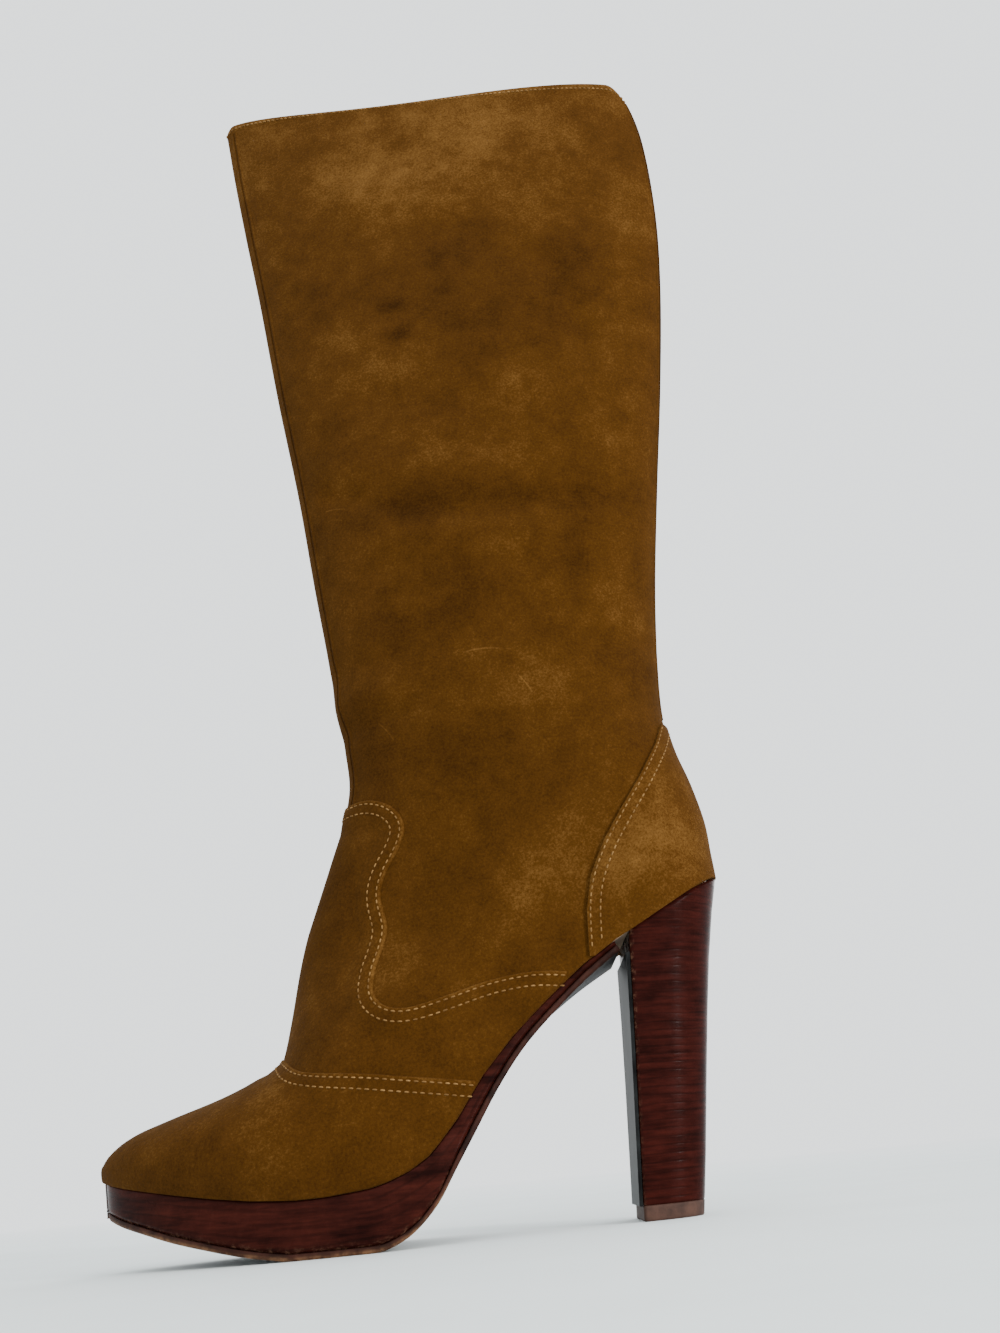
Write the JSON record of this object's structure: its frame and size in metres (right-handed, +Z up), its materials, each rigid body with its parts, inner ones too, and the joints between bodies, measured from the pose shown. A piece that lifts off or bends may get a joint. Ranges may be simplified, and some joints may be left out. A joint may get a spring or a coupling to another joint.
{
  "type": "knee-high boot",
  "caption": "Left knee-high suede boot with a hollow upper, inner zip with hinged pull, platform sole and tall stacked block heel.",
  "frame": {"origin": "centre of the heel tip's tread face, on the floor", "axes": "+X toward the toe, +Y to the outer (lateral) side of the foot, +Z up the shaft"},
  "size_m": [0.2134, 0.081, 0.4995],
  "materials": {
    "upper": "matte suede",
    "counter": "matte suede",
    "insole": "matte",
    "platform": "glossy stacked leather",
    "outsole": "satin",
    "heel": "glossy stacked leather",
    "heel_breast": "glossy",
    "top_lift": "matte",
    "zip_tape": "matte woven tape with nylon coil",
    "zip_slider": "satin",
    "zip_pull": "satin"
  },
  "bodies": {
    "boot": {"upper": "upper", "counter": "counter", "insole": "insole", "platform": "platform", "outsole": "outsole", "heel": "heel", "heel_breast": "heel_breast", "top_lift": "top_lift", "zip_tape": "zip_tape", "zip_slider": "zip_slider"},
    "pull": {"zip_pull": "zip_pull"}
  },
  "joints": [
    {"name": "pull_swing", "type": "hinge", "parent": "boot", "child": "pull", "pos_m": [0.08972, -0.02172, 0.47615], "axis": [-0.9912, 0.1169, 0.0617], "range_deg": [0, 165]}
  ]
}
